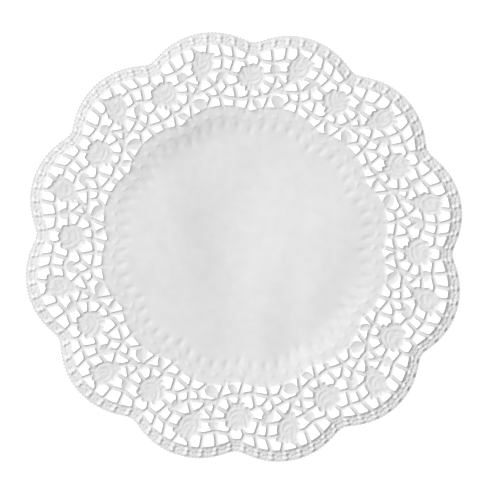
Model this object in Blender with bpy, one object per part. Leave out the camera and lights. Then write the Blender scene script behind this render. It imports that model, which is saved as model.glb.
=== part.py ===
"""A round doily of embossed, die-cut lace paper: one flat sheet with twelve scallops.

The lace is charted once, for one twelfth of the round, and turned twelve times.
Radii are in millimetres from the middle; bearings are in degrees clockwise from +Y,
where the sheet's first notch points.
"""
import bmesh
import bpy
from math import atan2, cos, degrees, exp, log, pi, radians, sin, sqrt
from mathutils import Vector
from mathutils.geometry import delaunay_2d_cdt

MM = 0.001

# Driving sizes, in millimetres
REPEATS = 12
TIP_RADIUS = 150.0          # middle of the doily to the crown of a scallop
SCALLOP_RADIUS = 49.0       # the arc of one scallop
NOTCH_FILLET = 2.7          # how softly two scallops meet
RIM_WIDTH = 8.2
CENTRE_ARC_RADIUS = 39.0    # the arcs round the plain centre
CENTRE_TIP_RADIUS = 98.6
SHEET_THICKNESS = 1.0
BAR_WIDTH = 2.8
VINE_WIDTH = 3.5
STALK_WIDTH = 4.6

# Raised work, above the flat face
ROSE_RISE = 0.7
LEAF_RISE = 0.5
PEARL_RISE = 0.45
RIB_DROP = 0.25
ARCH_RISE = 0.3

# How finely the round edges are divided, and how small a corner is kept
STEP = 360 / REPEATS
OUTLINE_STEPS = 16
CENTRE_STEPS = 8
PETALS = 13
LEAF_STEPS = 4
SMALLEST_CORNER = 0.22
OPENINGS_PER_REPEAT = 25
RIBS_PER_REPEAT = 8
ARCHES_PER_REPEAT = 5
ARCH_INSET = 6.5            # the arches' crowns, in from the edge of the centre
FIRST_ARCH = -1.4           # bearing of the first arch
TASSEL_RADIUS = 82.0
PLAIN_RADIUS = 76.0         # inside this the centre is flat
PAPER_COLOUR = (0.86, 0.86, 0.85, 1.0)
PAPER_ROUGHNESS = 0.75

# The chart of one repeat. Columns: radius, bearing
KNOTS = {
    "notch": (133.3, 1.6), "rim_1": (137.2, 5.5), "rim_2": (140.2, 9.65),
    "rim_3": (141.8, 12.8), "rim_4": (141.4, 17.4), "rim_5": (140.6, 20.5),
    "rim_6": (137.8, 24.2), "side": (128.9, 2.35), "foot": (123.7, 1.35),
    "tip_a": (128.4, 6.45), "upper_2": (131.8, 9.75), "bloom_w": (131.8, 12.45),
    "bloom_tip": (137.2, 13.35), "bloom_ne": (134.1, 16.35), "bloom_e": (131.6, 17),
    "upper_5": (132.2, 21.15), "upper_6": (129.8, 24.55), "lower_5": (123.2, 20.2),
    "bloom_se": (123.3, 16.15), "lower_6": (120.2, 22.75), "next_nw": (118.2, 25.95),
    "rose_e": (119.2, 3), "leaf_w": (120.7, 7.15), "leaf_e": (121.9, 8.3),
    "bloom_sw": (123.6, 12.6), "rose_se": (115.2, 3.1), "elbow": (111.9, 7.75),
    "foot_a": (118.8, 8.3), "bloom_foot": (121.2, 13.75), "vine_1": (113.9, 11.55),
    "vine_2": (109.2, 8.9), "hub": (105.7, 6.25), "vine_3": (104.1, 4.05),
    "vine_4": (102.2, 1.5), "vine_5": (103.0, -1.1), "vine_6": (101.8, -3),
    "vine_7": (101.3, -5.4), "web": (109.3, 11.2), "rose_s": (111.5, 2.1),
    "cross_1": (110.2, 13.25), "cross_2": (112.5, 17.2), "bloom_s": (121.0, 14.55),
    "net_1": (104.8, 15), "toe_c": (98.7, 12.55), "net_2": (104.9, 18.25),
    "edge_2": (96.0, 18.65), "net_3": (110.7, 21.5), "under_b": (116.7, 20.15),
    "net_4": (111.3, 23.75), "next_w": (114.2, 26.65), "net_5": (102.3, 22.8),
    "strut_1": (105.0, 6.9), "strut_2": (94.4, 5.35), "strut_3": (101.8, -0.5),
    "strut_4": (92.2, -2.2), "foot_b": (114.5, 18.45), "base_1": (122.2, 13.9),
    "base_2": (117.8, 12.8), "stalk_top": (111.5, 0.1), "tip_b": (122.4, 21.75),
}

# Bars run from knot to knot. A minus sign mirrors a knot about the notch,
# and a plus sign is the same knot one repeat further on.
BARS = (
    "notch- notch side foot", "notch- side- foot-", "side tip_a upper_2 bloom_w",
    "rim_1 tip_a", "rim_2 upper_2", "rim_3 bloom_tip", "rim_4 bloom_ne",
    "bloom_e upper_5 upper_6 side-+", "rim_5 upper_5", "rim_6 upper_6",
    "upper_5 lower_5 bloom_se", "upper_6 lower_6 next_nw", "lower_5 tip_b lower_6",
    "rose_e leaf_w", "leaf_e bloom_sw", "rose_se elbow foot_a",
    "foot_a vine_1 web", "elbow vine_2", "vine_2 web cross_1 cross_2",
    "bloom_s cross_2 net_2 edge_2", "cross_1 net_1 toe_c", "net_1 net_2",
    "foot_b cross_2", "under_b net_3 net_2", "net_3 net_4 next_w", "net_4 vine_7+",
    "net_2 net_5 vine_7+", "rose_s vine_3", "strut_1 strut_2", "strut_3 strut_4",
)
VINES = (
    "bloom_foot vine_1 vine_2 hub vine_3 vine_4 vine_5 vine_6 vine_7",
    "elbow hub", "stalk_top vine_5",
)
STALKS = ("base_1 base_2",)
WEBS = ("elbow vine_2 hub", "vine_2 vine_1 web")

# Flowers. Columns: radius and bearing of the middle, reach, reach of the pointed top,
# lean of the top
FLOWERS = {
    "rose": (117.2, -0.3, 9.8, 9.8, 0.0),
    "bloom": (128.2, 14.4, 9.0, 11.1, -16.0),
}
# Leaves. Columns: radius and bearing of the tip, the same of the foot, width,
# and how far the middle bows to the right of the way from tip to foot
LEAVES = {
    "leaf_a": (128.6, 6.4, 117.0, 8.6, 5.6, -0.3),
    "leaf_b": (122.6, 21.9, 113.6, 17.2, 5.5, 0.0),
    "leaf_c": (105.6, 7.4, 95.0, 12.2, 6.0, -1.3),
    "leaf_d": (102.0, 0.6, 94.2, 4.6, 4.2, 0.0),
    "leaf_e": (102.0, -6.0, 94.2, -6.3, 3.4, 0.0),
}


def place(radius, bearing):
    """A point on the sheet from its radius and bearing."""
    turn = radians(bearing)
    return Vector((radius * sin(turn), radius * cos(turn)))


def bearing_of(point):
    return degrees(atan2(point.x, point.y))


def turned(points, bearing):
    """The same points turned clockwise about the middle."""
    c, s = cos(radians(bearing)), sin(radians(bearing))
    return [Vector((p.x * c + p.y * s, p.y * c - p.x * s)) for p in points]


def arc_reach(tip_radius, arc_radius, off_crown):
    """How far out an arc lies, at a bearing measured from its crown."""
    middle = tip_radius - arc_radius
    across = middle * sin(radians(off_crown))
    return middle * cos(radians(off_crown)) + sqrt(arc_radius ** 2 - across ** 2)


def outline_reach(bearing):
    """The scalloped outline: two arcs blended softly at each notch."""
    near = bearing % STEP - STEP / 2
    far = near - STEP if near > 0 else near + STEP
    first = arc_reach(TIP_RADIUS, SCALLOP_RADIUS, near)
    across = (TIP_RADIUS - SCALLOP_RADIUS) * sin(radians(far))
    if abs(across) >= SCALLOP_RADIUS:
        return first
    second = arc_reach(TIP_RADIUS, SCALLOP_RADIUS, far)
    return first + NOTCH_FILLET * log(1 + exp((second - first) / NOTCH_FILLET))


def centre_reach(bearing):
    """The edge of the plain centre: twelve arcs with a cusp below each notch."""
    return arc_reach(CENTRE_TIP_RADIUS, CENTRE_ARC_RADIUS, bearing % STEP - STEP / 2)


def knot(name):
    """A knot of the chart, with its mirror and turn marks read."""
    radius, bearing = KNOTS[name.rstrip("+-")]
    if "-" in name:
        bearing = -bearing
    return place(radius, bearing + STEP * name.count("+"))


def strip(start, end, width):
    """A straight bar, run on a little past both knots."""
    along = (end - start).normalized()
    side = Vector((-along.y, along.x)) * width / 2
    start = start - along * width * 0.3
    end = end + along * width * 0.3
    return [start - side, end - side, end + side, start + side]


def strips(route, width):
    knots = [knot(name) for name in route.split()]
    return [strip(a, b, width) for a, b in zip(knots, knots[1:])]


def flower(radius, bearing, reach, top_reach, lean):
    """A flower's outline: an even ring of petal tips, drawn out at the top."""
    middle = place(radius, bearing)
    points = []
    for i in range(PETALS):
        turn = 360 * i / PETALS
        petal = reach + (top_reach - reach) * max(0.0, cos(radians(turn))) ** 6
        points.append(middle + turned([Vector((0, petal))], turn + bearing + lean)[0])
    return points[::-1]


def leaf(tip_radius, tip_bearing, foot_radius, foot_bearing, width, bow):
    """A leaf's outline, widest a little above its middle."""
    tip, foot = place(tip_radius, tip_bearing), place(foot_radius, foot_bearing)
    side = Vector((-(foot - tip).y, (foot - tip).x)).normalized()
    left, right = [], []
    for i in range(1, LEAF_STEPS):
        t = i / LEAF_STEPS
        half = width / 2 * sin(pi * t ** 0.85)
        spot = tip.lerp(foot, t) - side * bow * sin(pi * t)
        left.append(spot + side * half)
        right.append(spot - side * half)
    return counterclockwise([tip] + left + [foot] + right[::-1])


def signed_area(loop):
    return sum(a.x * b.y - b.x * a.y for a, b in zip(loop, loop[1:] + loop[:1])) / 2


def counterclockwise(loop):
    return loop if signed_area(loop) > 0 else loop[::-1]


def band(outer, inner, first, last, steps):
    """A ring sector between two edges, each given as a reach for a bearing."""
    bearings = [first + (last - first) * i / steps for i in range(steps + 1)]
    out = [place(outer(b), b) for b in bearings]
    back = [place(inner(b), b) for b in reversed(bearings)]
    return counterclockwise(out + back)


def lay_out_repeat():
    """Every bar, vine, web, leaf and flower of one repeat, as outlines."""
    shapes = []
    for route in BARS:
        shapes += strips(route, BAR_WIDTH)
    for route in VINES:
        shapes += strips(route, VINE_WIDTH)
    for route in STALKS:
        shapes += strips(route, STALK_WIDTH)
    for route in WEBS:
        shapes.append([knot(name) for name in route.split()])
    shapes += [flower(*row) for row in FLOWERS.values()]
    shapes += [leaf(*row) for row in LEAVES.values()]
    return [counterclockwise(shape) for shape in shapes]


def arrange(shapes, mode):
    """Cut crossing outlines against each other. Mode 0 fills the hull, 1 the shapes."""
    points, faces = [], []
    for shape in shapes:
        faces.append(list(range(len(points), len(points) + len(shape))))
        points += shape
    spots, _, cells, _, _, owners = delaunay_2d_cdt(points, [], faces, mode, 1e-5)
    return spots, cells, owners


def border_loops(cells):
    """The closed loops round a set of cells, from the edges used only once."""
    edges = {(a, b) for cell in cells for a, b in zip(cell, cell[1:] + cell[:1])}
    following = {a: b for a, b in edges if (b, a) not in edges}
    loops = []
    while following:
        first = min(following)
        loop = [first]
        step = following.pop(first)
        while step != first:
            loop.append(step)
            step = following.pop(step)
        loops.append(loop)
    return loops


def without_small_corners(loop):
    """Drop the corners that lie almost on the line between their neighbours."""
    loop = list(loop)
    while len(loop) > 4:
        bends = []
        for i, corner in enumerate(loop):
            before, after = loop[i - 1], loop[(i + 1) % len(loop)]
            base = after - before
            cross = base.x * (corner - before).y - base.y * (corner - before).x
            bends.append(abs(cross) / base.length)
        flattest = min(range(len(loop)), key=bends.__getitem__)
        if bends[flattest] > SMALLEST_CORNER:
            break
        del loop[flattest]
    return loop


def openings_of_repeat():
    """The gaps that the bars leave in one repeat, the largest of them only."""
    shapes = []
    for turns in (-1, 0, 1):
        shapes += [turned(shape, turns * STEP) for shape in lay_out_repeat()]
    reach_over = 1.5 * STEP
    shapes.append(band(lambda b: outline_reach(b), lambda b: outline_reach(b) - RIM_WIDTH,
                       -reach_over, reach_over, 3 * OUTLINE_STEPS))
    shapes.append(band(centre_reach, lambda b: CENTRE_TIP_RADIUS / 2,
                       -reach_over, reach_over, 3 * CENTRE_STEPS))
    spots, cells, owners = arrange(shapes, 0)
    void = [cell for cell, owner in zip(cells, owners) if not owner]
    beside = {}
    for number, cell in enumerate(void):
        for a, b in zip(cell, cell[1:] + cell[:1]):
            beside.setdefault(frozenset((a, b)), []).append(number)
    group = list(range(len(void)))

    def root(number):
        while group[number] != number:
            number = group[number]
        return number

    for pair in beside.values():
        if len(pair) == 2:
            group[root(pair[0])] = root(pair[1])
    gaps = {}
    for number, cell in enumerate(void):
        gaps.setdefault(root(number), []).append(cell)
    openings = []
    for gap in gaps.values():
        loop = [spots[i] for i in border_loops(gap)[0]]
        middle = sum(loop, Vector((0, 0))) / len(loop)
        in_lace = 90 < middle.length < TIP_RADIUS - RIM_WIDTH
        if in_lace and -3 <= bearing_of(middle) < STEP - 3:
            openings.append(without_small_corners(loop))
    openings.sort(key=lambda loop: abs(signed_area(loop)))
    return openings[-OPENINGS_PER_REPEAT:]


def raised_points():
    """Points of one repeat with a height above the flat face."""
    points = []
    for radius, bearing, reach, *_ in FLOWERS.values():
        middle = place(radius, bearing)
        points.append((middle, ROSE_RISE))
        for i in range(5):
            ring = turned([Vector((0, reach * 0.55))], 72 * i + bearing)[0]
            points.append((middle + ring, ROSE_RISE * 0.8))
    for tip_radius, tip_bearing, foot_radius, foot_bearing, *_ in LEAVES.values():
        tip, foot = place(tip_radius, tip_bearing), place(foot_radius, foot_bearing)
        points.append((tip.lerp(foot, 0.35), LEAF_RISE))
        points.append((tip.lerp(foot, 0.62), LEAF_RISE))
    for i in range(RIBS_PER_REPEAT):
        pitch = STEP / RIBS_PER_REPEAT
        rib = pitch * (i + 0.5)
        for off, height in ((0.0, -RIB_DROP), (pitch / 4, PEARL_RISE), (-pitch / 4, PEARL_RISE)):
            spot = rib + off
            points.append((place(outline_reach(spot) - RIM_WIDTH * 0.5, spot), height))
    for i in range(ARCHES_PER_REPEAT):
        pitch = STEP / ARCHES_PER_REPEAT
        arch, tassel = FIRST_ARCH + pitch * i, pitch * i
        points.append((place(centre_reach(arch) - ARCH_INSET, arch), ARCH_RISE))
        points.append((place(TASSEL_RADIUS, tassel), ARCH_RISE))
        points.append((place(PLAIN_RADIUS, tassel), 0.0))
        points.append((place(TASSEL_RADIUS, tassel + pitch / 2), 0.0))
    return points


def sheet_cells(points, faces):
    """Triangles between the first face and all the others, by the points' numbers."""
    _, _, cells, sources, _, owners = delaunay_2d_cdt(points, [], faces, 1, 1e-5)
    return [[sources[i][0] for i in cell] for cell, owner in zip(cells, owners) if owner == [0]]


def build_sheet():
    """The flat sheet with its openings, pressed work and thickness."""
    bearings = [STEP * i / OUTLINE_STEPS for i in range(REPEATS * OUTLINE_STEPS)]
    loops = [[place(outline_reach(b), b) for b in bearings]]
    openings = openings_of_repeat()
    for turn in range(REPEATS):
        loops += [turned(loop, turn * STEP) for loop in openings]
    points, faces, rises = [], [], []
    for loop in loops:
        faces.append(list(range(len(points), len(points) + len(loop))))
        points += counterclockwise(loop)
        rises += [0.0] * len(loop)
    on_edges = len(points)
    for turn in range(REPEATS):
        for spot, rise in raised_points():
            points += turned([spot], turn * STEP)
            rises.append(rise)
    sheet = bmesh.new()
    top = [sheet.verts.new((p.x * MM, p.y * MM, (SHEET_THICKNESS + rise) * MM))
           for p, rise in zip(points, rises)]
    bottom = [sheet.verts.new((p.x * MM, p.y * MM, 0.0)) for p in points[:on_edges]]
    for a, b, c in sheet_cells(points, faces):
        sheet.faces.new((top[a], top[b], top[c]))
    for a, b, c in sheet_cells(points[:on_edges], faces):
        sheet.faces.new((bottom[c], bottom[b], bottom[a]))
    for number, face in enumerate(faces):
        for a, b in zip(face, face[1:] + face[:1]):
            if number > 0:
                a, b = b, a
            sheet.faces.new((bottom[a], bottom[b], top[b], top[a]))
    bmesh.ops.delete(sheet, geom=[v for v in sheet.verts if not v.link_faces], context="VERTS")
    return sheet


def paper():
    material = bpy.data.materials.new("lace_paper")
    material.use_nodes = True
    shader = material.node_tree.nodes["Principled BSDF"]
    shader.inputs["Base Color"].default_value = PAPER_COLOUR
    shader.inputs["Roughness"].default_value = PAPER_ROUGHNESS
    shader.inputs["Metallic"].default_value = 0.0
    return material


for thing in list(bpy.data.objects):
    bpy.data.objects.remove(thing)

sheet = build_sheet()
mesh = bpy.data.meshes.new("doily")
sheet.to_mesh(mesh)
sheet.free()
mesh.materials.append(paper())
doily = bpy.data.objects.new("doily", mesh)
bpy.context.scene.collection.objects.link(doily)
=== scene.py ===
import math

import bmesh
import bpy
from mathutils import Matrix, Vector, noise
from mathutils.geometry import delaunay_2d_cdt


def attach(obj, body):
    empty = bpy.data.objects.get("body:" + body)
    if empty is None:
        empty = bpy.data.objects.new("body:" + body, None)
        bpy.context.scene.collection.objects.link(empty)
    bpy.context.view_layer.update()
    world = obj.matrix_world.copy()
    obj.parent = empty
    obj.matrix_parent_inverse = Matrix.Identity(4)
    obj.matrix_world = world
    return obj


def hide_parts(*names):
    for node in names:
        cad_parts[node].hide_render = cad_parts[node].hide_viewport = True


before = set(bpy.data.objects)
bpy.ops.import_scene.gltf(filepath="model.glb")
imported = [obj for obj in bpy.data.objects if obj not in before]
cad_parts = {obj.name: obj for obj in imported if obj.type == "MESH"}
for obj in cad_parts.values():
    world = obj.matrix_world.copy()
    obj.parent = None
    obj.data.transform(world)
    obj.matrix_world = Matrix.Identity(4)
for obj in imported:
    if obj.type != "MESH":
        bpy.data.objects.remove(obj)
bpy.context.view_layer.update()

# ------------------------------------------------------------------------------------
# The net. Narrow bars of paper, pressed up into rounded ridges, that run from knot to
# knot between the flowers. The die cuts the paper away between them. A thicker vine
# runs through the net. It is charted for one repeat and turned twelve times.
# Lengths on the chart are in millimetres from the middle of the doily, and bearings
# are in degrees clockwise from the first notch.
# ------------------------------------------------------------------------------------
MM = 0.001
REPEATS = 12
STEP = 360 / REPEATS
BAR_WIDTH = 3.0
VINE_WIDTH = 3.5
STALK_WIDTH = 4.6
BAR_RISE = 1.45
VINE_RISE = 1.45
STALK_RISE = 1.0
RUN_ON_SHARE = 0.3
WEB_SHOULDER = 1.5
WEB_RISE = 0.4
KNOT_REACH = 1.5
KNOT_RISE = 0.18

# Columns: radius, bearing
KNOTS = {
    "notch": (133.3, 1.6), "rim_1": (137.2, 5.5), "rim_2": (140.2, 9.65),
    "rim_3": (141.8, 12.8), "rim_4": (141.4, 17.4), "rim_5": (140.6, 20.5),
    "rim_6": (137.8, 24.2), "side": (128.9, 2.35), "foot": (123.7, 1.35),
    "tip_a": (128.4, 6.45), "upper_2": (131.8, 9.75), "bloom_w": (131.8, 12.45),
    "bloom_tip": (137.2, 13.35), "bloom_ne": (134.1, 16.35), "bloom_e": (131.6, 17),
    "upper_5": (132.2, 21.15), "upper_6": (129.8, 24.55), "lower_5": (123.2, 20.2),
    "bloom_se": (123.3, 16.15), "lower_6": (120.2, 22.75), "next_nw": (118.2, 25.95),
    "rose_e": (119.2, 3), "leaf_w": (120.7, 7.15), "leaf_e": (121.9, 8.3),
    "bloom_sw": (123.6, 12.6), "rose_se": (115.2, 3.1), "elbow": (111.9, 7.75),
    "foot_a": (118.8, 8.3), "bloom_foot": (121.2, 13.75), "vine_1": (113.9, 11.55),
    "vine_2": (109.2, 8.9), "hub": (105.7, 6.25), "vine_3": (104.1, 4.05),
    "vine_4": (102.2, 1.5), "vine_5": (103.0, -1.1), "vine_6": (101.8, -3),
    "vine_7": (101.3, -5.4), "web": (109.3, 11.2), "rose_s": (111.5, 2.1),
    "cross_1": (110.2, 13.25), "cross_2": (112.5, 17.2), "bloom_s": (121.0, 14.55),
    "net_1": (104.8, 15), "toe_c": (98.7, 12.55), "net_2": (104.9, 18.25),
    "edge_2": (96.0, 18.65), "net_3": (110.7, 21.5), "under_b": (116.7, 20.15),
    "net_4": (111.3, 23.75), "next_w": (114.2, 26.65), "net_5": (102.3, 22.8),
    "strut_1": (105.0, 6.9), "strut_2": (94.4, 5.35), "strut_3": (101.8, -0.5),
    "strut_4": (92.2, -2.2), "foot_b": (114.5, 18.45), "base_1": (122.2, 13.9),
    "base_2": (117.8, 12.8), "stalk_top": (111.5, 0.1), "tip_b": (122.4, 21.75),
}
# A minus sign mirrors a knot about the notch, and a plus sign is one repeat further on.
BARS = (
    "notch- notch side foot", "notch- side- foot-", "side tip_a upper_2 bloom_w",
    "rim_1 tip_a", "rim_2 upper_2", "rim_3 bloom_tip", "rim_4 bloom_ne",
    "bloom_e upper_5 upper_6 side-+", "rim_5 upper_5", "rim_6 upper_6",
    "upper_5 lower_5 bloom_se", "upper_6 lower_6 next_nw", "lower_5 tip_b lower_6",
    "rose_e leaf_w", "leaf_e bloom_sw", "rose_se elbow foot_a",
    "foot_a vine_1 web", "elbow vine_2", "vine_2 web cross_1 cross_2",
    "bloom_s cross_2 net_2 edge_2", "cross_1 net_1 toe_c", "net_1 net_2",
    "foot_b cross_2", "under_b net_3 net_2", "net_3 net_4 next_w", "net_4 vine_7+",
    "net_2 net_5 vine_7+", "rose_s vine_3", "strut_1 strut_2", "strut_3 strut_4",
)
VINES = (
    "bloom_foot vine_1 vine_2 hub vine_3 vine_4 vine_5 vine_6 vine_7",
    "elbow hub", "stalk_top vine_5",
)
STALKS = ("base_1 base_2",)
WEBS = ("elbow vine_2 hub", "vine_2 vine_1 web")


def place(radius, bearing):
    """A point of the flat sheet from its radius and bearing."""
    turn = math.radians(bearing)
    return Vector((radius * math.sin(turn), radius * math.cos(turn)))


def bearing_of(point):
    """The bearing of a point, in degrees clockwise from the first notch."""
    return math.degrees(math.atan2(point.x, point.y))


def turned(points, bearing):
    """The same points turned clockwise about the middle."""
    c, s = math.cos(math.radians(bearing)), math.sin(math.radians(bearing))
    return [Vector((p.x * c + p.y * s, p.y * c - p.x * s)) for p in points]


def knot(name):
    """The place of a knot, with the marks after its name read."""
    radius, bearing = KNOTS[name.rstrip("+-")]
    if "-" in name:
        bearing = -bearing
    return place(radius, bearing + STEP * name.count("+"))


def runs_of(routes):
    """The straight runs between neighbouring knots of each route."""
    runs = []
    for route in routes:
        knots = [knot(name) for name in route.split()]
        runs += list(zip(knots, knots[1:]))
    return runs


def strip(start, end, width):
    """The outline of one bar, run on a little past both of its knots."""
    along = (end - start).normalized()
    side = Vector((-along.y, along.x)) * width / 2
    start = start - along * width * RUN_ON_SHARE
    end = end + along * width * RUN_ON_SHARE
    return [start - side, end - side, end + side, start + side]


def signed_area(loop):
    """The area of a loop, above zero if it runs counterclockwise."""
    return sum(a.x * b.y - b.x * a.y for a, b in zip(loop, loop[1:] + loop[:1])) / 2


def counterclockwise(loop):
    """The loop, turned to run counterclockwise."""
    return loop if signed_area(loop) > 0 else loop[::-1]


def grown(loop, margin):
    """A counterclockwise loop moved outwards by the margin."""
    spots = []
    for before, spot, after in zip(loop[-1:] + loop[:-1], loop, loop[1:] + loop[:1]):
        out = (spot - before).normalized() + (after - spot).normalized()
        spots.append(spot + Vector((out.y, -out.x)).normalized() * margin)
    return spots


# What is pressed into the sheet. A ridge is (points, half width, rise), a pad is
# (outline, shoulder width, rise), and a fold is (points, half width, rise) and lies on
# top of them. The outlines are what the die leaves standing.
ridges, pads, folds, outlines = [], [], [], []
for routes, width, rise in (
    (BARS, BAR_WIDTH, BAR_RISE),
    (VINES, VINE_WIDTH, VINE_RISE),
    (STALKS, STALK_WIDTH, STALK_RISE),
):
    for start, end in runs_of(routes):
        outlines.append(strip(start, end, width))
        ridges.append(([start, end], width / 2, rise))
for route in WEBS:
    web = counterclockwise([knot(name) for name in route.split()])
    outlines.append(web)
    pads.append((web, WEB_SHOULDER, WEB_RISE))
for name in KNOTS:
    folds.append(([knot(name)], KNOT_REACH, KNOT_RISE))

# ------------------------------------------------------------------------------------
# The flowers. Each repeat has a round rose below the notch and a pointed bloom to the
# right of it. They are embossed into the paper as a soft dome with a bud or a bulb,
# folded petals and short sepals at the foot, and the die cuts round their petal tips.
# ------------------------------------------------------------------------------------
FLOWER_RISE = 1.4
FLOWER_SHOULDER = 1.9
FLOWER_MARGIN = 0.4
DOME_REACH = 9.0
DOME_RISE = 0.4

# Radius and bearing of the middle
ROSE = (117.2, -0.3)
BLOOM = (128.2, 14.4)
# The cut edge, clockwise from the top. Columns: distance to the right of the flower's
# middle, distance outwards from it
ROSE_EDGE = (
    (0.9, 9.5), (1.9, 9.1), (2.7, 8.4), (4.2, 8.2), (5.2, 7.4), (6.6, 7.2), (7.8, 6.7),
    (8.4, 5.8), (8.2, 4.2), (8.5, 3.0), (9.1, 1.6), (9.3, 0.3), (9.2, -1.0), (8.9, -2.3),
    (8.4, -3.3), (7.6, -4.4), (7.2, -5.6), (6.6, -6.6), (5.7, -7.2), (5.6, -8.2),
    (5.0, -9.2), (3.8, -9.4), (2.6, -9.0), (1.6, -9.4), (0.2, -9.9), (-1.4, -9.6),
    (-2.8, -9.7), (-3.9, -9.5), (-4.0, -8.2), (-3.7, -7.0), (-4.6, -6.5), (-6.0, -6.8),
    (-7.0, -6.2), (-7.6, -5.4), (-8.6, -4.6), (-8.8, -3.4), (-9.3, -2.2), (-10.0, -1.2),
    (-10.1, 0.6), (-9.2, 2.4), (-8.0, 3.6), (-7.8, 4.8), (-7.6, 6.0), (-6.8, 7.1),
    (-5.6, 7.3), (-4.2, 7.1), (-3.4, 7.9), (-2.2, 8.5), (-1.2, 8.4), (-0.4, 8.8),
    (0.2, 9.3),
)
BLOOM_EDGE = (
    (-2.9, 11.6), (-1.6, 11.0), (-0.5, 10.3), (0.3, 9.6), (1.2, 9.0), (2.4, 9.5),
    (3.4, 9.1), (4.1, 8.1), (5.1, 8.0), (6.2, 8.4), (7.0, 7.8), (7.6, 7.0), (9.0, 7.0),
    (9.7, 6.2), (9.7, 5.1), (8.9, 3.4), (8.0, 2.4), (7.8, 1.0), (7.8, -0.2), (7.4, -1.6),
    (6.8, -2.7), (6.6, -3.8), (6.3, -5.2), (5.5, -6.0), (4.6, -6.6), (3.4, -7.4),
    (2.2, -7.8), (1.6, -8.6), (1.7, -9.6), (0.4, -10.5), (-1.0, -10.6), (-2.6, -10.6),
    (-4.0, -11.0), (-5.0, -10.8), (-5.2, -10.0), (-6.4, -9.5), (-6.3, -8.2), (-6.3, -6.8),
    (-7.0, -5.6), (-7.4, -4.4), (-7.2, -3.2), (-7.6, -2.0), (-8.4, -1.0), (-7.6, 0.0),
    (-7.0, 0.9), (-7.1, 2.2), (-7.4, 3.2), (-6.6, 4.2), (-5.6, 5.1), (-4.7, 6.2),
    (-4.2, 7.4), (-4.0, 9.0), (-3.9, 10.4),
)
# Bulbs, petal folds and hollows. Columns: half width, rise, then spots along it as above
ROSE_FOLDS = (
    (3.1, 0.39, (0.2, 6.3), (2.6, 6.5)),
    (1.5, 0.33, (-5.6, 5.8), (-5.2, 3.2), (-4.8, 1.2), (-3.8, -0.2)),
    (0.7, 0.12, (-2.9, 5.4), (-2.9, 3.4), (-2.4, 2.6)),
    (1.0, -0.20, (-2.0, 4.4), (-1.2, 3.1), (1.0, 2.6), (3.0, 3.0)),
    (0.9, -0.14, (-3.9, 3.4), (-3.6, 2.0)),
    (0.9, 0.14, (-0.2, 1.1)),
    (0.8, 0.14, (1.6, 1.3), (4.3, 2.6), (5.5, 4.5)),
    (0.9, 0.23, (0.9, -0.4), (2.0, 0.0), (3.6, 0.6)),
    (0.8, -0.12, (-1.0, -1.6), (2.0, -1.4), (4.2, -0.3), (5.0, 1.5)),
    (1.3, 0.27, (-1.6, -3.7), (0.0, -3.8), (2.0, -3.4), (4.0, -2.4)),
    (0.9, 0.17, (4.0, -2.4), (5.3, -0.5), (6.0, 2.0), (6.3, 5.0)),
    (0.8, -0.14, (-3.0, -4.2), (-1.0, -5.2), (1.5, -5.2), (3.6, -4.4), (5.6, -2.8), (6.6, -0.5)),
    (1.3, 0.27, (7.8, 1.4), (7.8, -0.6)),
    (1.5, 0.30, (6.2, -4.0), (5.0, -5.4)),
    (1.4, 0.30, (-8.2, -0.6), (-6.9, -2.6), (-5.2, -4.5)),
    (0.9, -0.16, (-6.6, 3.0), (-6.3, 0.0), (-4.6, -2.4), (-3.2, -3.4)),
    (1.2, 0.33, (-2.2, -6.2), (-2.5, -8.4)),
    (1.0, 0.30, (0.6, -6.2), (0.5, -8.2)),
    (1.2, 0.33, (3.0, -6.2), (4.2, -8.0)),
    (1.1, 0.28, (6.8, 6.0), (6.9, 4.2)),
)
BLOOM_FOLDS = (
    (2.3, 0.33, (2.2, 6.9), (4.2, 5.9)),
    (0.9, -0.20, (0.4, 6.0), (0.2, 4.0), (0.4, 2.9)),
    (0.9, -0.17, (1.5, 3.6), (3.5, 3.4), (4.8, 3.4)),
    (1.1, 0.28, (-1.6, 5.5), (-2.4, 3.8), (-2.8, 2.0), (-2.6, 0.6)),
    (0.8, -0.15, (-2.6, 7.0), (-3.6, 5.0), (-4.3, 3.0), (-4.5, 1.0), (-4.0, -1.0), (-3.0, -2.5)),
    (1.0, 0.21, (-4.7, 5.5), (-5.6, 3.6), (-5.9, 1.0)),
    (0.7, 0.13, (-3.0, 8.4), (-3.3, 6.5)),
    (1.2, 0.27, (-1.2, 9.0), (-1.0, 7.0)),
    (0.9, 0.21, (0.6, 1.0), (1.8, 2.0)),
    (0.8, -0.15, (-2.2, -1.0), (-0.6, -1.0), (1.2, -0.2), (2.6, 1.0), (3.0, 2.6)),
    (0.8, 0.12, (3.0, -0.8), (3.9, 0.8), (4.0, 2.4)),
    (1.8, 0.32, (-1.4, -2.6), (0.5, -2.8), (2.2, -1.6)),
    (0.8, -0.15, (-3.0, -3.6), (-1.8, -4.8), (0.0, -5.2), (2.0, -4.8), (3.6, -3.6), (4.6, -1.6),
     (4.9, 0.8), (4.7, 3.0)),
    (1.3, 0.28, (-6.4, -1.2), (-5.2, -2.6), (-5.0, -3.8)),
    (1.2, 0.24, (6.2, 3.4), (6.6, 1.0), (6.3, -1.0), (5.4, -3.0)),
    (0.9, 0.21, (1.6, -6.6), (3.4, -5.8), (4.6, -4.6)),
    (1.1, 0.21, (8.2, 5.8), (6.9, 4.6)),
    (1.0, 0.24, (-4.6, -7.4), (-4.9, -8.4)),
    (1.2, 0.20, (-2.6, -8.0), (-1.8, -9.5)),
    (0.7, 0.09, (-4.5, -5.5), (-2.8, -6.4), (-1.0, -6.8)),
)


def flower_spots(flower, spots):
    """Spots given from a flower's middle, as places on the doily."""
    radius, bearing = flower
    out, right = place(1, bearing), place(1, bearing + 90)
    return [place(radius, bearing) + right * across + out * outwards for across, outwards in spots]


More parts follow.
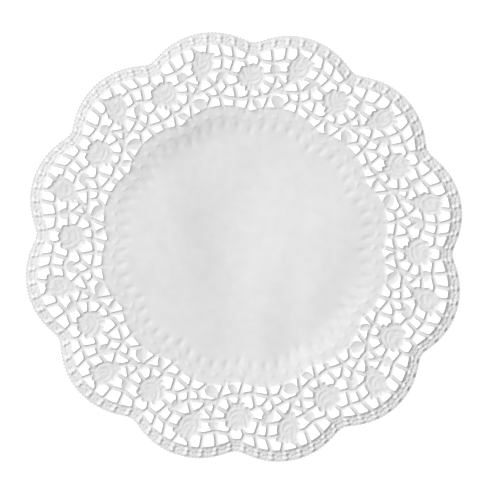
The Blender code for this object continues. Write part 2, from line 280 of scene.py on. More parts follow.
for flower, edge, creases in ((ROSE, ROSE_EDGE, ROSE_FOLDS), (BLOOM, BLOOM_EDGE, BLOOM_FOLDS)):
    edge = grown(counterclockwise(flower_spots(flower, edge)), FLOWER_MARGIN)
    outlines.append(edge)
    pads.append((edge, FLOWER_SHOULDER, FLOWER_RISE))
    folds.append(([place(*flower)], DOME_REACH, DOME_RISE))
    for half_width, rise, *spots in creases:
        folds.append((flower_spots(flower, spots), half_width, rise))

# ------------------------------------------------------------------------------------
# The leaves. Five to a repeat, cut and pressed with the net they hang in. Each is a
# low roof with a raised midrib and faint veins that run up to its edges.
# ------------------------------------------------------------------------------------
LEAF_RISE = 1.0
LEAF_MARGIN = 0.5
LEAF_STEPS = 10
LEAF_TAPER = 0.85
MIDRIB_HALF = 0.7
MIDRIB_RISE = 0.2
VEINS = 4
VEIN_SHARE = 0.8
VEIN_HALF = 0.5
VEIN_RISE = 0.09

# Columns: radius and bearing of the tip, the same of the foot, width, and how far the
# middle bows to the right of the way from tip to foot
LEAVES = {
    "leaf_a": (128.6, 6.5, 116.6, 8.2, 6.6, -0.3),
    "leaf_b": (122.6, 21.7, 113.8, 17.4, 7.0, -0.6),
    "leaf_c": (105.8, 7.5, 95.4, 12.9, 7.2, -1.6),
    "leaf_d": (102.0, 0.6, 94.2, 4.6, 4.2, 0.0),
    "leaf_e": (102.0, -6.0, 94.2, -6.3, 3.4, 0.0),
}
for tip_radius, tip_bearing, foot_radius, foot_bearing, width, bow in LEAVES.values():
    tip, foot = place(tip_radius, tip_bearing), place(foot_radius, foot_bearing)
    side = Vector((-(foot - tip).y, (foot - tip).x)).normalized()
    left, right, midrib = [], [], []
    for i in range(1, LEAF_STEPS):
        t = i / LEAF_STEPS
        half = width / 2 * math.sin(math.pi * t ** LEAF_TAPER)
        spot = tip.lerp(foot, t) - side * bow * math.sin(math.pi * t)
        midrib.append(spot)
        left.append(spot + side * half)
        right.append(spot - side * half)
    edge = grown(counterclockwise([tip] + left + [foot] + right[::-1]), LEAF_MARGIN)
    outlines.append(edge)
    pads.append((edge, width / 2, LEAF_RISE))
    folds.append((midrib, MIDRIB_HALF, MIDRIB_RISE))
    for i in range(VEINS):
        start = midrib[3 + i]
        for margin in (left, right):
            vein = [start, start.lerp(margin[1 + i], VEIN_SHARE)]
            folds.append((vein, VEIN_HALF, VEIN_RISE))

# ------------------------------------------------------------------------------------
# The rim. A band that follows the twelve scallops, pressed up higher than the net.
# Eight long dents to a repeat, drawn in at the waist, divide it into ribs. Low lines
# and rows of pearls run along it, and the outer pearls cut the edge into fine picots.
# ------------------------------------------------------------------------------------
TIP_RADIUS = 150.0
SCALLOP_RADIUS = 49.0
NOTCH_FILLET = 2.7
RIM_WIDTH = 8.2
RIM_RISE = 1.4
RIM_SHOULDER = 2.4
RIBS_PER_REPEAT = 8
RIB_PITCH = STEP / RIBS_PER_REPEAT
PICOTS_PER_RIB = 4
PICOT_DEPTH = 0.46
PICOT_MIDDLE = 0.1
EDGE_DROP = 0.12
EDGE_DROP_WIDTH = 0.7
LINE_HALF = 1.1
LINE_RISE = 0.13
DENT_DEPTH = 1.45
DENT_SLOPE_HALF = 0.65

# Distances in from the edge of the lines that run along the rim
LINES = (0.2, 3.5, 6.3)
# A dent from its outer to its inner end. Columns: distance in, half width, depth share
DENT = ((1.0, 0.9, 0.0), (1.9, 1.2, 1.0), (2.8, 1.2, 1.0), (3.9, 0.85, 0.75),
        (5.0, 1.1, 1.0), (5.7, 1.2, 0.9), (6.8, 0.9, 0.0))
# Pearls of one rib. Columns: distance in, bearing off the dent, radius, rise
PEARLS = (
    (0.55, -1.41, 0.95, 0.47), (0.55, -0.47, 0.95, 0.47), (0.55, 0.47, 0.95, 0.47),
    (0.55, 1.41, 0.95, 0.47),
    (4.1, -0.86, 1.3, 0.98), (4.1, 0.86, 1.3, 0.98), (3.4, 1.875, 1.0, 0.82),
    (5.6, 1.5, 0.8, 0.27), (5.6, 2.25, 0.8, 0.27),
    (6.9, -0.62, 1.0, 0.51), (6.9, 0.62, 1.0, 0.51), (6.9, 1.875, 1.0, 0.55),
    (2.1, -1.2, 0.9, 0.31), (2.1, 1.2, 0.9, 0.31),
)


def smooth(low, high, value):
    """0 at low and 1 at high, with a soft start and end."""
    t = min(1.0, max(0.0, (value - low) / (high - low)))
    return t * t * (3 - 2 * t)


def arch(share):
    """A rounded shoulder: 0 at the edge, 1 from one shoulder width in."""
    return 1 - (1 - min(1.0, max(0.0, share))) ** 2


def arc_reach(tip_radius, arc_radius, off_crown):
    """How far out an arc lies, at a bearing measured from its crown."""
    middle = tip_radius - arc_radius
    across = middle * math.sin(math.radians(off_crown))
    return middle * math.cos(math.radians(off_crown)) + math.sqrt(arc_radius ** 2 - across ** 2)


def outline_reach(bearing):
    """The scalloped outline: two arcs blended softly at each notch."""
    near = bearing % STEP - STEP / 2
    far = near - STEP if near > 0 else near + STEP
    first = arc_reach(TIP_RADIUS, SCALLOP_RADIUS, near)
    across = (TIP_RADIUS - SCALLOP_RADIUS) * math.sin(math.radians(far))
    if abs(across) >= SCALLOP_RADIUS:
        return first
    second = arc_reach(TIP_RADIUS, SCALLOP_RADIUS, far)
    return first + NOTCH_FILLET * math.log(1 + math.exp((second - first) / NOTCH_FILLET))


def picot_reach(bearing):
    """The cut edge: the scalloped outline with a small round picot at each outer bead."""
    wave = math.cos(math.radians(360 * (bearing / RIB_PITCH * PICOTS_PER_RIB)))
    return outline_reach(bearing) + PICOT_DEPTH * (wave - PICOT_MIDDLE)


def rim_place(inset, bearing):
    """A point of the sheet from its distance in from the scalloped outline."""
    return place(outline_reach(bearing) - inset, bearing)


def rim_height(inset, bearing):
    """The height of the rim, with its lines and dents but not its pearls."""
    height = RIM_RISE * arch((RIM_WIDTH - inset) / RIM_SHOULDER)
    height -= EDGE_DROP * (1 - arch(inset / EDGE_DROP_WIDTH))
    for line in LINES:
        height += LINE_RISE * max(0.0, 1 - ((inset - line) / LINE_HALF) ** 2)
    off = (bearing % RIB_PITCH - RIB_PITCH / 2) * math.radians(TIP_RADIUS)
    for near, far in zip(DENT, DENT[1:]):
        if near[0] <= inset < far[0]:
            t = (inset - near[0]) / (far[0] - near[0])
            half, depth = (a + (b - a) * smooth(0, 1, t) for a, b in zip(near[1:], far[1:]))
            side = smooth(half - DENT_SLOPE_HALF, half + DENT_SLOPE_HALF, abs(off))
            height -= DENT_DEPTH * depth * (1 - side)
    return height


for i in range(RIBS_PER_REPEAT):
    rib = RIB_PITCH * (i + 0.5)
    for inset, off, radius, rise in PEARLS:
        folds.append(([rim_place(inset, rib + off)], radius, rise))

# ------------------------------------------------------------------------------------
# The plain centre. A smooth disc of paper with a raised, pressed edge of twelve arcs.
# Inside it runs a fine crease with five half-moon dents to a repeat on its outer side
# and a ring of rounded flutes, one to a dent, that fade out towards the middle.
# ------------------------------------------------------------------------------------
CENTRE_ARC_RADIUS = 39.0
CENTRE_TIP_RADIUS = 98.6
CENTRE_RISE = 1.0
CENTRE_LIP = 0.8
LIP_GROOVE = 0.9
LIP_GROOVE_SHARE = 0.55
CENTRE_STEP = 0.13
PLAIN_INSET = 3
STEP_FADE = (13.5, 18.0)
FLUTES_PER_REPEAT = 5
FLUTE_PITCH = STEP / FLUTES_PER_REPEAT
FLUTE_BEARING = 0.3
FLUTE_RISE = 0.66
FLUTE_HALF = 2.6
FLUTE_START = (8.0, 14.5)
FLUTE_FADE = (14.5, 18.5)
NECK_INSET = 10.0
NECK_HALF = 0.8
NECK_SIDES = (0.3, 0.65)
NECK_DEPTH = 0.15
CREASE_INSET = 8.6
CREASE_HALF = 0.55
CREASE_DEPTH = 0.09
MOON_BEARING = -1.4
MOON_INSET = 7.5
MOON_RADIUS = 2.45
MOON_DEPTH = 0.4
MOON_TILT = 8.0
MOON_FADE = 0.6


def centre_reach(bearing):
    """The edge of the centre: twelve arcs with a cusp below each notch."""
    return arc_reach(CENTRE_TIP_RADIUS, CENTRE_ARC_RADIUS, bearing % STEP - STEP / 2)


def from_nearest(bearing, first, radius):
    """How far, along the ring, a bearing lies from the nearest mark of the ring."""
    off = (bearing - first + FLUTE_PITCH / 2) % FLUTE_PITCH - FLUTE_PITCH / 2
    return math.radians(off) * radius


def centre_height(radius, bearing):
    """The height of the centre, with its lip, half moons, crease and flutes."""
    inset = centre_reach(bearing) - radius
    height = CENTRE_RISE * arch(inset / CENTRE_LIP)
    if inset < PLAIN_INSET or inset > STEP_FADE[1]:
        return height - CENTRE_STEP * smooth(*STEP_FADE, inset)
    height -= CENTRE_STEP * smooth(*STEP_FADE, inset)
    height -= CREASE_DEPTH * max(0.0, 1 - abs(inset - CREASE_INSET) / CREASE_HALF)
    across = from_nearest(bearing, FLUTE_BEARING, radius) / FLUTE_HALF
    flute = smooth(*FLUTE_START, inset) * (1 - smooth(*FLUTE_FADE, inset))
    height += FLUTE_RISE * (max(0.0, 1 - across ** 2) ** 1.5 - 0.3) * flute
    neck = max(0.0, 1 - abs(inset - NECK_INSET) / NECK_HALF)
    height -= NECK_DEPTH * neck * (1 - smooth(*NECK_SIDES, abs(across)))
    along = from_nearest(bearing, MOON_BEARING, radius)
    down = inset - MOON_INSET - along * math.tan(math.radians(MOON_TILT))
    moon = max(0.0, 1 - (math.hypot(along, down) / MOON_RADIUS) ** 2)
    height -= MOON_DEPTH * moon * (1 - smooth(CREASE_INSET - MOON_FADE, CREASE_INSET, inset))
    return height


# ------------------------------------------------------------------------------------
# The sheet. The whole doily is one piece of white paper, die-cut and embossed in one
# stroke. One repeat is laid out flat with its gaps, pressed into relief and given an
# underside. It is turned twelve times, joined and let lie a little uneven.
# ------------------------------------------------------------------------------------
PAPER_THICKNESS = 0.2
CORNER_ROUNDING = 1.0
EDGE_SPACING = 1.35
# Bearing where one repeat is joined to the one before it
FIRST_CUT = 10.625
CUTS = (FIRST_CUT, FIRST_CUT + STEP)
RIDGE_ROUNDING = 0.3
RIDGE_DROP = 0.744
FOLD_START = 0.02
FOLD_FULL = 0.35
SQUARE = 2
MOON_ROWS = (MOON_RADIUS - 0.8, MOON_RADIUS - 0.05)
PICOT_POINTS = 3
PICOT_STEP = RIB_PITCH / PICOTS_PER_RIB / PICOT_POINTS
RIM_COLUMNS = round(STEP / PICOT_STEP)
EXTRA_PICOT_STEPS = 16
RIM_TILT = 0.19
TILT_WIDTH = 9.5
TILT_BEND = 1.5
PAD_SPACING = 0.72
UNDER_REACH = 0.9
SAG_HEIGHT = 0.6
SAG_LENGTH = 48.0
WAVE_FADE = (74.0, 100.0)
JOIN_DISTANCE = 0.000004
# Soft waves that the folded pack left in the centre. Columns: x and y of the middle,
# bearing of the crest, length, width, rise
WAVES = (
    (10, 49, 31, 30, 15, 2.4), (-1, -62, 1, 45, 18, 2.4), (-47, 62, 59, 45, 18, 2.4),
    (-25, 19, -12, 45, 12, 2.4), (-5, 27, -11, 45, 16, 2.4), (52, -62, 30, 45, 11, 2.4),
    (31, -62, 3, 39, 10, 2.4), (43, 42, 40, 45, 13, 1.4),
)
# Point spacing along the straight cuts. Columns: radius beyond which it holds, spacing
SEAM_SPACING = ((97, 1.1), (78, 1.7), (0, 5.5))
# Point spacing in the centre's ring. Columns: nearest and furthest distance in, spacing
RING_SPACING = ((4.6, 9.0, 0.72), (9.0, 18.0, 1.15), (0.9, 4.6, 2.0))
# Distances in from the edge of the centre of the rows that shape its lip and crease
RING_ROWS = (1.0, 8.05, 8.6, 9.15)
RING_ROW_POINTS = 30
# Distances in from the edge of the rows of points that shape the rim
RIM_ROWS = (0.5, 1.05, 1.6, 2.15, 2.7, 3.25, 3.8, 4.35, 4.9, 5.45, 6.0, 6.55, 7.1, 7.65)


def distance_to_line(point, start, end):
    """The distance from a point to a straight run."""
    run = end - start
    share = min(1.0, max(0.0, (point - start).dot(run) / max(run.length_squared, 1e-9)))
    return (point - start - run * share).length


def distance_to_path(point, spots, closed=False):
    """The distance from a point to the nearest run of a path, or to its only spot."""
    if len(spots) == 1:
        return (point - spots[0]).length
    ends = spots[1:] + spots[:1] if closed else spots[1:]
    return min(distance_to_line(point, a, b) for a, b in zip(spots, ends))


def encloses(loop, point):
    """True if the point lies inside the closed loop."""
    odd = False
    for a, b in zip(loop, loop[1:] + loop[:1]):
        if (a.y > point.y) != (b.y > point.y):
            if point.x < a.x + (point.y - a.y) / (b.y - a.y) * (b.x - a.x):
                odd = not odd
    return odd


def border_loops(cells):
    """The closed loops round a set of cells, from the edges used only once."""
    edges = {(a, b) for cell in cells for a, b in zip(cell, cell[1:] + cell[:1])}
    following = {a: b for a, b in edges if (b, a) not in edges}
    loops = []
    while following:
        first = min(following)
        loop = [first]
        step = following.pop(first)
        while step != first:
            loop.append(step)
            step = following.pop(step)
        loops.append(loop)
    return loops


def without_small_corners(loop, smallest):
    """The loop without the corners that lie almost on a straight line."""
    loop = list(loop)
    while len(loop) > 4:
        bends = []
        for i, corner in enumerate(loop):
            before, after = loop[i - 1], loop[(i + 1) % len(loop)]
            bends.append(distance_to_line(corner, before, after))
        flattest = min(range(len(loop)), key=bends.__getitem__)
        if bends[flattest] > smallest:
            break
        del loop[flattest]
    return loop


def rounded(loop, setback):
    """The loop with each corner worn round."""
    spots = []
    for i, corner in enumerate(loop):
        before, after = loop[i - 1], loop[(i + 1) % len(loop)]
        reach = min(setback, (before - corner).length * 0.42, (after - corner).length * 0.42)
        start = corner + (before - corner).normalized() * reach
        end = corner + (after - corner).normalized() * reach
        spots += [start, start * 0.25 + corner * 0.5 + end * 0.25, end]
    return spots


def divided(loop, spacing):
    """The loop with points added along its longer edges."""
    spots = []
    for a, b in zip(loop, loop[1:] + loop[:1]):
        parts = max(1, round((b - a).length / spacing))
        spots += [a.lerp(b, i / parts) for i in range(parts)]
    return spots


def gaps_of_repeat():
    """The gaps that the net leaves in one repeat, with worn corners."""
    shapes = []
    for turns in (-1, 0, 1):
        shapes += [counterclockwise(turned(shape, turns * STEP)) for shape in outlines]
    bearings = [-45 + 90 * i / 192 for i in range(193)]
    rim_out = [rim_place(0, b) for b in bearings]
    rim_in = [rim_place(RIM_WIDTH, b) for b in reversed(bearings)]
    centre_out = [place(centre_reach(b), b) for b in bearings[::4]]
    centre_in = [place(60, b) for b in reversed(bearings[::4])]
    shapes += [counterclockwise(rim_out + rim_in), counterclockwise(centre_out + centre_in)]
    points, faces = [], []
    for shape in shapes:
        faces.append(list(range(len(points), len(points) + len(shape))))
        points += shape
    spots, _, cells, _, _, owners = delaunay_2d_cdt(points, [], faces, 0, 1e-5)
    void = [cell for cell, owner in zip(cells, owners) if not owner]
    beside = {}
    for number, cell in enumerate(void):
        for a, b in zip(cell, cell[1:] + cell[:1]):
            beside.setdefault(frozenset((a, b)), []).append(number)
    group = list(range(len(void)))

    def root(number):
        """The first cell of the gap that a cell belongs to."""
        while group[number] != number:
            number = group[number]
        return number

    for pair in beside.values():
        if len(pair) == 2:
            group[root(pair[0])] = root(pair[1])
    gathered = {}
    for number, cell in enumerate(void):
        gathered.setdefault(root(number), []).append(cell)
    gaps = []
    for gap in gathered.values():
        loop = [spots[i] for i in border_loops(gap)[0]]
        middle = sum(loop, Vector((0, 0))) / len(loop)
        in_net = 90 < middle.length < TIP_RADIUS - RIM_WIDTH
        if in_net and -3 <= bearing_of(middle) < STEP - 3 and abs(signed_area(loop)) > 3:
            loop = without_small_corners(loop, 0.12)
            gaps.append(divided(rounded(loop, CORNER_ROUNDING), EDGE_SPACING))
    return gaps


def with_reach(spots, margin):
    """The middle of the spots and how far they reach from it, so that far ones are skipped."""
    middle = sum(spots, Vector((0, 0))) / len(spots)
    return middle, max((spot - middle).length for spot in spots) + margin


near_ridges, near_pads, near_folds = [], [], []
for turns in (-1, 0, 1, 2):
    for spots, half, rise in ridges:
        spots = turned(spots, turns * STEP)
        near_ridges.append((*with_reach(spots, half), spots, half, rise))
    for spots, shoulder, rise in pads:
        spots = turned(spots, turns * STEP)
        near_pads.append((*with_reach(spots, 0.1), spots, shoulder, rise))
    for spots, half, rise in folds:
        spots = turned(spots, turns * STEP)
        near_folds.append((*with_reach(spots, half), spots, half, rise))


def height(point):
    """The height of the pressed paper over its cut edges."""
    radius, bearing = point.length, bearing_of(point)
    top = 0.0
    if radius < CENTRE_TIP_RADIUS + 1:
        top = centre_height(radius, bearing)
    inset = outline_reach(bearing) - radius
    if inset < RIM_WIDTH:
        top = max(top, rim_height(max(0.0, inset), bearing))
    for middle, reach, spots, half, rise in near_ridges:
        if (point - middle).length < reach:
            across = distance_to_path(point, spots) / half
            drop = (math.hypot(across, RIDGE_ROUNDING) - RIDGE_ROUNDING) / RIDGE_DROP
            top = max(top, rise * (1 - drop))
    for middle, reach, spots, shoulder, rise in near_pads:
        if (point - middle).length < reach and encloses(spots, point):
            top = max(top, rise * arch(distance_to_path(point, spots, True) / shoulder))
    beyond = abs(radius - centre_reach(bearing) - LIP_GROOVE / 2)
    top *= 1 - LIP_GROOVE_SHARE * max(0.0, 1 - beyond / LIP_GROOVE)
    if top > FOLD_START:
        extra = 0.0
        for middle, reach, spots, half, rise in near_folds:
            if (point - middle).length < reach:
                across = min(1.0, distance_to_path(point, spots) / half)
                extra += rise * (1 - across ** 2) ** 2
        top += extra * min(1.0, top / FOLD_FULL)
    return top


class Crowd:
    """Points that keep their distance from one another."""

    def __init__(self):
        self.squares = {}
        self.points = []

    def square_of(self, point):
        """The square of the sheet that a point lies in."""
        return int(point.x // SQUARE), int(point.y // SQUARE)

    def near(self, point, distance):
        """True if a point of the crowd lies closer than the distance."""
        x, y = self.square_of(point)
        for i in (x - 1, x, x + 1):
            for j in (y - 1, y, y + 1):
                for other in self.squares.get((i, j), ()):
                    if (other - point).length < distance:
                        return True
        return False

    def add(self, point):
        """Take in the point and give its number."""
        self.squares.setdefault(self.square_of(point), []).append(point)
        self.points.append(point)
        return len(self.points) - 1

    def settle(self, spots, distance):
        """Take in each spot that keeps the distance from the points before it."""
        for spot in spots:
            if not self.near(spot, distance):
                self.add(spot)


def honeycomb(low_radius, high_radius, spacing):
    """An even field of points over one repeat."""
    rows = int(2 * high_radius / (spacing * 0.866)) + 2
    columns = int(2 * high_radius / spacing) + 2
    field = []
    for row in range(rows):
        for column in range(columns):
            spot = Vector((
                (column + 0.5 * (row % 2)) * spacing - high_radius,
                row * spacing * 0.866 - high_radius,
            ))
            turn = (bearing_of(spot) - FIRST_CUT) % 360
            if low_radius < spot.length < high_radius and turn < STEP:
                field.append(spot)
    return field


def underside(point):
    """The height of the underside: a little below the lowest of the sheet close by."""
    bearing = bearing_of(point)
    around = [point] + [point + place(UNDER_REACH, bearing + turn) for turn in range(0, 360, 60)]
    return min(height(spot) for spot in around) - PAPER_THICKNESS


def edges_of_repeat(crowd):
    """The cut edges of one repeat as faces, and the two straight cuts beside it as seams."""
    faces, seams = [], []
    first = FIRST_CUT - EXTRA_PICOT_STEPS * PICOT_STEP
    count = RIM_COLUMNS + 2 * EXTRA_PICOT_STEPS
    bearings = [first + PICOT_STEP * i for i in range(count + 1)]
    edge = [place(picot_reach(bearing), bearing) for bearing in bearings]
    faces.append([crowd.add(spot) for spot in counterclockwise(edge + [Vector((0, 0))])])
    middle_number = faces[0][[crowd.points[i].length < 1 for i in faces[0]].index(True)]
    for cut in CUTS:
        rim_end = place(picot_reach(cut), cut)
        numbers = [min(faces[0], key=lambda i: (crowd.points[i] - rim_end).length)]
        radius = rim_end.length - 1.0
        while radius > 1:
            numbers.append(crowd.add(place(radius, cut)))
            radius -= next(spacing for beyond, spacing in SEAM_SPACING if radius > beyond)
        numbers.append(middle_number)
        seams += list(zip(numbers, numbers[1:]))
    for turns in (-1, 0, 1, 2):
        for loop in gaps:
            loop = turned(loop, turns * STEP)
            turn = (bearing_of(sum(loop, Vector((0, 0))) / len(loop)) - FIRST_CUT + 180) % 360
            if 175 < turn < 185 + STEP:
                faces.append([crowd.add(spot) for spot in counterclockwise(loop)])
    return faces, seams


def half_moon_points():
    """Points along the rounded edges of the half moons of one repeat."""
    spots = []
    for k in range(FLUTES_PER_REPEAT + 1):
        bearing = FIRST_CUT + (MOON_BEARING - FIRST_CUT) % FLUTE_PITCH + k * FLUTE_PITCH
        for radius in MOON_ROWS:
            for turn in range(-84, 85, 14 if radius > 2 else 21):
                rim = place(radius, turn - MOON_TILT)
                spot_bearing = bearing + math.degrees(rim.x / CENTRE_TIP_RADIUS)
                spot = place(centre_reach(spot_bearing) - MOON_INSET + rim.y, spot_bearing)
                if (spot_bearing - FIRST_CUT) % 360 < STEP:
                    spots.append(spot)
    return spots


def settle_relief(crowd, grain):
    """Points that shape the pressed relief, finer or coarser by the grain."""
    for inset in RIM_ROWS[::round(grain)]:
        row = [FIRST_CUT + PICOT_STEP * i for i in range(1, RIM_COLUMNS, round(grain))]
        crowd.settle([rim_place(inset, bearing) for bearing in row], 0.4 * grain)
    for middle, reach, spots, half, rise in near_ridges:
        run = spots[1] - spots[0]
        parts = max(2, round(run.length / (1.4 * grain)))
        crest = [spots[0] + run * (i / parts) for i in range(parts + 1)]
        crowd.settle(crest, 0.5 * grain)
        side = Vector((-run.y, run.x)).normalized() * half * 0.55
        if grain == 1:
            crowd.settle([spot + side for spot in crest], 0.5)
            crowd.settle([spot - side for spot in crest], 0.5)
    pressed = [pad for pad in near_pads if pad[4] > 0.4]
    for spot in honeycomb(90, 142, PAD_SPACING * grain):
        for middle, reach, spots, shoulder, rise in pressed:
            if (spot - middle).length < reach and encloses(spots, spot):
                crowd.settle([spot], 0.55 * PAD_SPACING * grain)
                break
    if grain == 1:
        crowd.settle(half_moon_points(), 0.33)
    for low, high, spacing in RING_SPACING:
        for spot in honeycomb(72, 98, spacing * grain):
            inset = centre_reach(bearing_of(spot)) - spot.length
            if low < inset < high:
                crowd.settle([spot], 0.65 * spacing * grain)
    crowd.settle(honeycomb(5, 78, 5.0), 2.4)


def one_repeat():
    """The closed mesh of one repeat, open only at the two straight cuts beside it."""
    mesh = bmesh.new()
    sides = []
    for grain, level in ((1, height), (2, underside)):
        crowd = Crowd()
        faces, seams = edges_of_repeat(crowd)
        if grain == 1:
            for inset in RING_ROWS:
                steps = [STEP * (i + 0.5) / RING_ROW_POINTS for i in range(RING_ROW_POINTS)]
                row = [FIRST_CUT + step for step in steps]
                numbers = [crowd.add(place(centre_reach(b) - inset, b)) for b in row]
                seams += list(zip(numbers, numbers[1:]))
        settle_relief(crowd, grain)
        spots, _, cells, _, _, owners = delaunay_2d_cdt(crowd.points, seams, faces, 1, 1e-6)
        made, ends = {}, {}
        for cell, owner in zip(cells, owners):
            middle = sum((spots[i] for i in cell), Vector((0, 0))) / 3
            turn = (bearing_of(middle) - FIRST_CUT) % 360
            if owner != [0] or turn > STEP:
                continue
            for i in cell:
                if i not in made:
                    spot = (spots[i].x * MM, spots[i].y * MM, level(spots[i]) * MM)
                    made[i] = mesh.verts.new(spot)
            mesh.faces.new([made[i] for i in (cell if grain == 1 else cell[::-1])])
            for a, b in zip(cell, cell[1:] + cell[:1]):
                ends[a, b] = (spots[a], spots[b])
        borders = {(a, b) for a, b in ends if (b, a) not in ends}
        sides.append({
            tuple(round(value, 3) for spot in ends[pair] for value in spot):
            (made[pair[0]], made[pair[1]]) for pair in borders
        })
    for key, (a, b) in sides[0].items():
        ends = [Vector(key[:2]), Vector(key[2:])]
        off_cuts = [min(abs(end.dot(place(1, cut + 90))) for cut in CUTS) for end in ends]
        if max(off_cuts) > 0.01:
            c, d = sides[1][key]
            mesh.faces.new((b, a, c, d))
    data = bpy.data.meshes.new("one_repeat")
    mesh.to_mesh(data)
    mesh.free()
    return data


def turning_tree():
    """A node tree that turns one repeat about the middle and joins the copies."""
    tree = bpy.data.node_groups.new("turn_repeats", "GeometryNodeTree")
    sockets = tree.interface
    sockets.new_socket("Repeat", in_out="INPUT", socket_type="NodeSocketGeometry")
    sockets.new_socket("Repeats", in_out="INPUT", socket_type="NodeSocketInt")
    sockets.new_socket("Join Distance", in_out="INPUT", socket_type="NodeSocketFloat")
    sockets.new_socket("Paper", in_out="INPUT", socket_type="NodeSocketMaterial")
    sockets.new_socket("Sheet", in_out="OUTPUT", socket_type="NodeSocketGeometry")
    nodes, links = tree.nodes, tree.links
    given = nodes.new("NodeGroupInput")
    result = nodes.new("NodeGroupOutput")
    middle = nodes.new("GeometryNodePoints")
    number = nodes.new("GeometryNodeInputIndex")
    full_turn = nodes.new("ShaderNodeMath")
    full_turn.operation = "DIVIDE"
    full_turn.inputs[0].default_value = 2 * math.pi
    turn = nodes.new("ShaderNodeMath")
    turn.operation = "MULTIPLY"
    about_z = nodes.new("ShaderNodeCombineXYZ")
    copies = nodes.new("GeometryNodeInstanceOnPoints")
    realize = nodes.new("GeometryNodeRealizeInstances")
    join = nodes.new("GeometryNodeMergeByDistance")
    paint = nodes.new("GeometryNodeSetMaterial")
    links.new(given.outputs["Repeats"], middle.inputs["Count"])
    links.new(given.outputs["Repeats"], full_turn.inputs[1])
    links.new(number.outputs["Index"], turn.inputs[0])
    links.new(full_turn.outputs["Value"], turn.inputs[1])
    links.new(turn.outputs["Value"], about_z.inputs["Z"])
    links.new(middle.outputs[0], copies.inputs["Points"])
    links.new(given.outputs["Repeat"], copies.inputs["Instance"])
    links.new(about_z.outputs["Vector"], copies.inputs["Rotation"])
    links.new(copies.outputs["Instances"], realize.inputs["Geometry"])
    links.new(realize.outputs["Geometry"], join.inputs["Geometry"])
    links.new(given.outputs["Join Distance"], join.inputs["Distance"])
    links.new(join.outputs["Geometry"], paint.inputs["Geometry"])
    links.new(given.outputs["Paper"], paint.inputs["Material"])
    links.new(paint.outputs["Geometry"], result.inputs["Sheet"])
    return tree


def lace_paper():
    """White, uncoated paper: matt, with a faint cloudy tone and fine fibres."""
    material = bpy.data.materials.new("lace_paper")
    material.use_nodes = True
    nodes, links = material.node_tree.nodes, material.node_tree.links
    shader = nodes["Principled BSDF"]
    shader.inputs["Roughness"].default_value = 0.82
    shader.inputs["Specular IOR Level"].default_value = 0.25
    where = nodes.new("ShaderNodeTexCoord")
    clouds = nodes.new("ShaderNodeTexNoise")
    clouds.inputs["Scale"].default_value = 140.0
    clouds.inputs["Detail"].default_value = 5.0
    tone = nodes.new("ShaderNodeValToRGB")
    tone.color_ramp.elements[0].position = 0.3
    tone.color_ramp.elements[0].color = (0.682, 0.682, 0.680, 1)
    tone.color_ramp.elements[1].position = 0.7
    tone.color_ramp.elements[1].color = (0.718, 0.718, 0.718, 1)
    fibres = nodes.new("ShaderNodeTexNoise")
    fibres.inputs["Scale"].default_value = 1500.0
    fibres.inputs["Detail"].default_value = 4.0
    fibres.inputs["Roughness"].default_value = 0.65
    grain = nodes.new("ShaderNodeBump")
    grain.inputs["Strength"].default_value = 0.25
    grain.inputs["Distance"].default_value = 0.00008
    links.new(where.outputs["Object"], clouds.inputs["Vector"])
    links.new(clouds.outputs["Fac"], tone.inputs["Fac"])
    links.new(tone.outputs["Color"], shader.inputs["Base Color"])
    links.new(where.outputs["Object"], fibres.inputs["Vector"])
    links.new(fibres.outputs["Fac"], grain.inputs["Height"])
    links.new(grain.outputs["Normal"], shader.inputs["Normal"])
    return material


def plain_mesh(thing):
    """The object's finished mesh, with its modifiers worked in and removed."""
    depsgraph = bpy.context.evaluated_depsgraph_get()
    finished = bpy.data.meshes.new_from_object(thing.evaluated_get(depsgraph))
    thing.modifiers.clear()
    thing.data = finished


def sheet_lift(spot):
    """How far the lying sheet stands up: waves in the middle, and the rim curls a little."""
    inset = max(0.0, outline_reach(bearing_of(spot)) - spot.length)
    tilted = max(0.0, TILT_WIDTH - inset)
    lift = RIM_TILT * tilted * tilted / (tilted + TILT_BEND)
    lift += SAG_HEIGHT * noise.noise(Vector((spot.x, spot.y, 20.0)) / SAG_LENGTH)
    for x, y, bearing, length, width, rise in WAVES:
        along = place(1, bearing)
        away = spot - Vector((x, y))
        reach = (away.dot(along) / length) ** 2 + (along.cross(away) / width) ** 2
        lift += rise * math.exp(-reach / 2) * (1 - smooth(*WAVE_FADE, spot.length))
    return lift


gaps = gaps_of_repeat()
doily = bpy.data.objects.new("paper_doily", one_repeat())
bpy.context.scene.collection.objects.link(doily)
tree = turning_tree()
turning = doily.modifiers.new("turn_repeats", "NODES")
turning.node_group = tree
values = {"Repeats": REPEATS, "Join Distance": JOIN_DISTANCE, "Paper": lace_paper()}
for socket in tree.interface.items_tree:
    if socket.name in values:
        turning[socket.identifier] = values[socket.name]
plain_mesh(doily)

for face in doily.data.polygons:
    if face.normal.z < 0.05:
        continue
for vertex in doily.data.vertices:
    vertex.co.z += sheet_lift(Vector(vertex.co.xy) / MM) * MM
lowest = min(vertex.co.z for vertex in doily.data.vertices)
for vertex in doily.data.vertices:
    vertex.co.z += 0.05 * MM - lowest
for face in doily.data.polygons:
    face.use_smooth = True

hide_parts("doily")
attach(doily, "root")

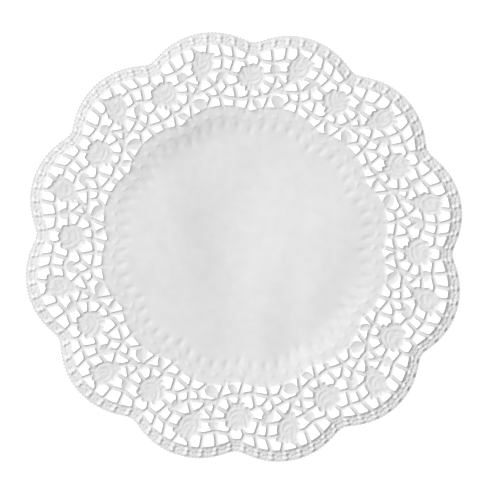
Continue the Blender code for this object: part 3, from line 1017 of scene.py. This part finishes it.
# ------------------------------------------------------------------------------------
# The floor. A plain, white, seamless studio sweep that the doily lies on.
# ------------------------------------------------------------------------------------
sweep = bpy.data.meshes.new("sweep")
sweep.from_pydata([(-4, -4, 0), (4, -4, 0), (4, 4, 0), (-4, 4, 0)], [], [(0, 1, 2, 3)])
floor = bpy.data.objects.new("floor", sweep)
bpy.context.scene.collection.objects.link(floor)
white = bpy.data.materials.new("white_sweep")
white.use_nodes = True
shader = white.node_tree.nodes["Principled BSDF"]
shader.inputs["Base Color"].default_value = (0.2, 0.2, 0.2, 1)
shader.inputs["Roughness"].default_value = 1.0
shader.inputs["Specular IOR Level"].default_value = 0.0
shader.inputs["Emission Color"].default_value = (1, 1, 1, 1)
shader.inputs["Emission Strength"].default_value = 0.97
sweep.materials.append(white)

# ------------------------------------------------------------------------------------
# The light. One broad soft lamp from the right and a little in front, and an even
# white fill from all round.
# ------------------------------------------------------------------------------------
LAMP_BEARING = 122.0
LAMP_HEIGHT = 55.0
LAMP_STRENGTH = 3.18
LAMP_SPREAD = 10
FILL_STRENGTH = 0.25
lamp = bpy.data.lights.new("soft_lamp", "SUN")
lamp.energy = LAMP_STRENGTH
lamp.angle = math.radians(LAMP_SPREAD)
lamp_holder = bpy.data.objects.new("soft_lamp", lamp)
bpy.context.scene.collection.objects.link(lamp_holder)
aim = place(math.cos(math.radians(LAMP_HEIGHT)), LAMP_BEARING)
towards_lamp = Vector((aim.x, aim.y, math.sin(math.radians(LAMP_HEIGHT))))
lamp_holder.rotation_mode = "QUATERNION"
lamp_holder.rotation_quaternion = towards_lamp.to_track_quat("Z", "Y")
fill = bpy.data.worlds.new("white_fill")
fill.use_nodes = True
fill.node_tree.nodes["Background"].inputs["Color"].default_value = (1, 1, 1, 1)
fill.node_tree.nodes["Background"].inputs["Strength"].default_value = FILL_STRENGTH
bpy.context.scene.world = fill
bpy.context.scene.view_settings.view_transform = "Standard"
bpy.context.scene.view_settings.look = "None"

# ------------------------------------------------------------------------------------
# The camera. High over the doily and a little in front of it, with a long lens.
# ------------------------------------------------------------------------------------
LENS_LENGTH = 203.93
CAMERA_PLACE = (-0.03002, -0.33778, 1.80969)
CAMERA_TURN = (0.185535, -0.022374, 0.043442)
lens = bpy.data.cameras.new("camera")
lens.lens = LENS_LENGTH
lens.sensor_width = 36.0
lens.clip_end = 20.0
camera = bpy.data.objects.new("camera", lens)
camera.location = CAMERA_PLACE
camera.rotation_euler = CAMERA_TURN
bpy.context.scene.collection.objects.link(camera)
bpy.context.scene.camera = camera
